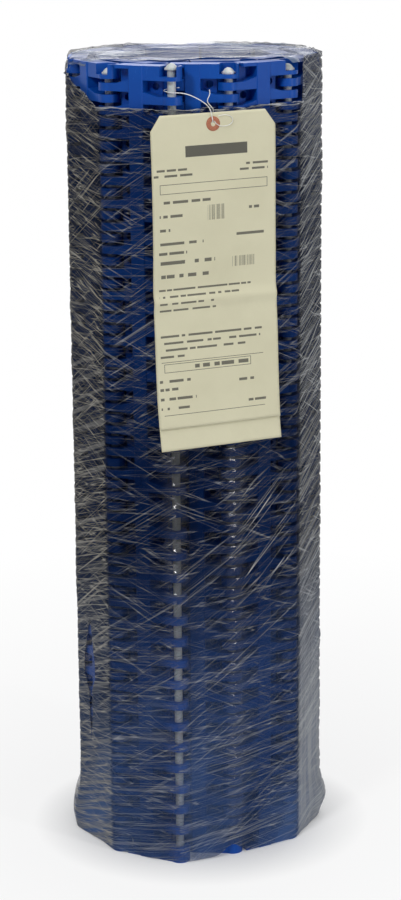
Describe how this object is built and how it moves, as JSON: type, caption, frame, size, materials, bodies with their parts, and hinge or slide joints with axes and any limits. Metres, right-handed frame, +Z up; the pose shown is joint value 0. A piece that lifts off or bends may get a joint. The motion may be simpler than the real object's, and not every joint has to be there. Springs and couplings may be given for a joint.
{
  "type": "modular plastic conveyor belt roll",
  "caption": "Mesh-top modular plastic conveyor belt rolled up on its edge: hinged rows of bricklaid modules on full-width rods, wound in stretch film, with a blank tag wired on.",
  "frame": {"origin": "middle of the roll's foot, on the plane that the belt's lower edge stands on", "axes": "+Z up along the hinge rods; -Y towards the side with the tag; +X to the right of it"},
  "size_m": [0.1912, 0.208, 0.6114],
  "materials": {
    "belt": "moulded blue polypropylene, satin",
    "rod": "natural polypropylene, milky",
    "film": "clear stretch film, wrinkled",
    "tag": "plain cream tag stock",
    "patch": "reddish-brown fibre patch",
    "wire": "white coated tie wire"
  },
  "bodies": {
    "row_01": {"belt_row_01": "belt"},
    "row_02": {"belt_row_02": "belt", "hinge_rod_02": "rod"},
    "row_03": {"belt_row_03": "belt", "hinge_rod_03": "rod"},
    "row_04": {"belt_row_04": "belt", "hinge_rod_04": "rod"},
    "row_05": {"belt_row_05": "belt", "hinge_rod_05": "rod"},
    "row_06": {"belt_row_06": "belt", "hinge_rod_06": "rod"},
    "row_07": {"belt_row_07": "belt", "hinge_rod_07": "rod"},
    "row_08": {"belt_row_08": "belt", "hinge_rod_08": "rod"},
    "row_09": {"belt_row_09": "belt", "hinge_rod_09": "rod"},
    "row_10": {"belt_row_10": "belt", "hinge_rod_10": "rod", "side_film": "film", "top_film": "film"},
    "row_11": {"belt_row_11": "belt", "hinge_rod_11": "rod"},
    "row_12": {"belt_row_12": "belt", "hinge_rod_12": "rod"},
    "row_13": {"belt_row_13": "belt", "hinge_rod_13": "rod"},
    "row_14": {"belt_row_14": "belt", "hinge_rod_14": "rod"},
    "row_15": {"belt_row_15": "belt", "hinge_rod_15": "rod"},
    "row_16": {"belt_row_16": "belt", "hinge_rod_16": "rod"},
    "row_17": {"belt_row_17": "belt", "hinge_rod_17": "rod"},
    "row_18": {"belt_row_18": "belt", "hinge_rod_18": "rod"},
    "row_19": {"belt_row_19": "belt", "hinge_rod_19": "rod"},
    "row_20": {"belt_row_20": "belt", "hinge_rod_20": "rod"},
    "joining_rod": {"joining_rod": "rod"},
    "tag": {"tag_card": "tag", "tag_copy_sheet": "tag", "tag_patch": "patch", "tag_wire": "wire"}
  },
  "joints": [
    {"name": "hinge_01", "type": "hinge", "parent": "row_02", "child": "row_01", "pos_m": [-0.06178, -0.06278, 0], "axis": [0, 0, 1], "range_deg": [-33.6, 0]},
    {"name": "hinge_02", "type": "hinge", "parent": "row_03", "child": "row_02", "pos_m": [-0.08712, -0.01875, 0], "axis": [0, 0, 1], "range_deg": [-31.17, 0]},
    {"name": "hinge_03", "type": "hinge", "parent": "row_04", "child": "row_03", "pos_m": [-0.08601, 0.03204, 0], "axis": [0, 0, 1], "range_deg": [-31.77, 0]},
    {"name": "hinge_04", "type": "hinge", "parent": "row_05", "child": "row_04", "pos_m": [-0.05833, 0.07464, 0], "axis": [0, 0, 1], "range_deg": [-32.41, 0]},
    {"name": "hinge_05", "type": "hinge", "parent": "row_06", "child": "row_05", "pos_m": [-0.01213, 0.09576, 0], "axis": [0, 0, 1], "range_deg": [-33.09, 0]},
    {"name": "hinge_06", "type": "hinge", "parent": "row_07", "child": "row_06", "pos_m": [0.03811, 0.08823, 0], "axis": [0, 0, 1], "range_deg": [-33.82, 0]},
    {"name": "hinge_07", "type": "hinge", "parent": "row_08", "child": "row_07", "pos_m": [0.07566, 0.05401, 0], "axis": [0, 0, 1], "range_deg": [-34.59, 0]},
    {"name": "hinge_08", "type": "hinge", "parent": "row_09", "child": "row_08", "pos_m": [0.08715, 0.00453, 0], "axis": [0, 0, 1], "range_deg": [-35.42, 0]},
    {"name": "hinge_09", "type": "hinge", "parent": "row_10", "child": "row_09", "pos_m": [0.06783, -0.04245, 0], "axis": [0, 0, 1], "range_deg": [-36.32, 0]},
    {"name": "hinge_10", "type": "hinge", "parent": "row_10", "child": "row_11", "pos_m": [0.02444, -0.06887, 0], "axis": [0, 0, 1], "range_deg": [0, 37.29], "deforming": ["side_film", "top_film"]},
    {"name": "hinge_11", "type": "hinge", "parent": "row_11", "child": "row_12", "pos_m": [-0.02609, -0.0636, 0], "axis": [0, 0, 1], "range_deg": [0, 38.34]},
    {"name": "hinge_12", "type": "hinge", "parent": "row_12", "child": "row_13", "pos_m": [-0.06245, -0.02813, 0], "axis": [0, 0, 1], "range_deg": [0, 39.48]},
    {"name": "hinge_13", "type": "hinge", "parent": "row_13", "child": "row_14", "pos_m": [-0.06796, 0.02237, 0], "axis": [0, 0, 1], "range_deg": [0, 40.74]},
    {"name": "hinge_14", "type": "hinge", "parent": "row_14", "child": "row_15", "pos_m": [-0.03918, 0.06423, 0], "axis": [0, 0, 1], "range_deg": [0, 42.13]},
    {"name": "hinge_15", "type": "hinge", "parent": "row_15", "child": "row_16", "pos_m": [0.01025, 0.07597, 0], "axis": [0, 0, 1], "range_deg": [0, 43.67]},
    {"name": "hinge_16", "type": "hinge", "parent": "row_16", "child": "row_17", "pos_m": [0.0541, 0.05033, 0], "axis": [0, 0, 1], "range_deg": [0, 45.4]},
    {"name": "hinge_17", "type": "hinge", "parent": "row_17", "child": "row_18", "pos_m": [0.06664, 0.0011, 0], "axis": [0, 0, 1], "range_deg": [0, 47.36]},
    {"name": "hinge_18", "type": "hinge", "parent": "row_18", "child": "row_19", "pos_m": [0.03891, -0.04147, 0], "axis": [0, 0, 1], "range_deg": [0, 49.61]},
    {"name": "hinge_19", "type": "hinge", "parent": "row_19", "child": "row_20", "pos_m": [-0.01147, -0.04794, 0], "axis": [0, 0, 1], "range_deg": [0, 52.21]},
    {"name": "joining_rod_pull", "type": "slide", "parent": "row_01", "child": "joining_rod", "axis": [0, 0, 1], "range_m": [-0.0048, 0.6]},
    {"name": "tag_swing", "type": "hinge", "parent": "row_01", "child": "tag", "pos_m": [-0.01631, -0.08543, 0.59344], "axis": [-0.9265, -0.3764, 0], "range_deg": [0, 40]}
  ],
  "couplings": [
    {"joint": "hinge_01", "follows": "hinge_10", "ratio": -0.90117},
    {"joint": "hinge_02", "follows": "hinge_10", "ratio": -0.83598},
    {"joint": "hinge_03", "follows": "hinge_10", "ratio": -0.85213},
    {"joint": "hinge_04", "follows": "hinge_10", "ratio": -0.86927},
    {"joint": "hinge_05", "follows": "hinge_10", "ratio": -0.8875},
    {"joint": "hinge_06", "follows": "hinge_10", "ratio": -0.90694},
    {"joint": "hinge_07", "follows": "hinge_10", "ratio": -0.92772},
    {"joint": "hinge_08", "follows": "hinge_10", "ratio": -0.95003},
    {"joint": "hinge_09", "follows": "hinge_10", "ratio": -0.97404},
    {"joint": "hinge_11", "follows": "hinge_10", "ratio": 1.0282},
    {"joint": "hinge_12", "follows": "hinge_10", "ratio": 1.0589},
    {"joint": "hinge_13", "follows": "hinge_10", "ratio": 1.0927},
    {"joint": "hinge_14", "follows": "hinge_10", "ratio": 1.1299},
    {"joint": "hinge_15", "follows": "hinge_10", "ratio": 1.1713},
    {"joint": "hinge_16", "follows": "hinge_10", "ratio": 1.2177},
    {"joint": "hinge_17", "follows": "hinge_10", "ratio": 1.2702},
    {"joint": "hinge_18", "follows": "hinge_10", "ratio": 1.3304},
    {"joint": "hinge_19", "follows": "hinge_10", "ratio": 1.4003}
  ]
}
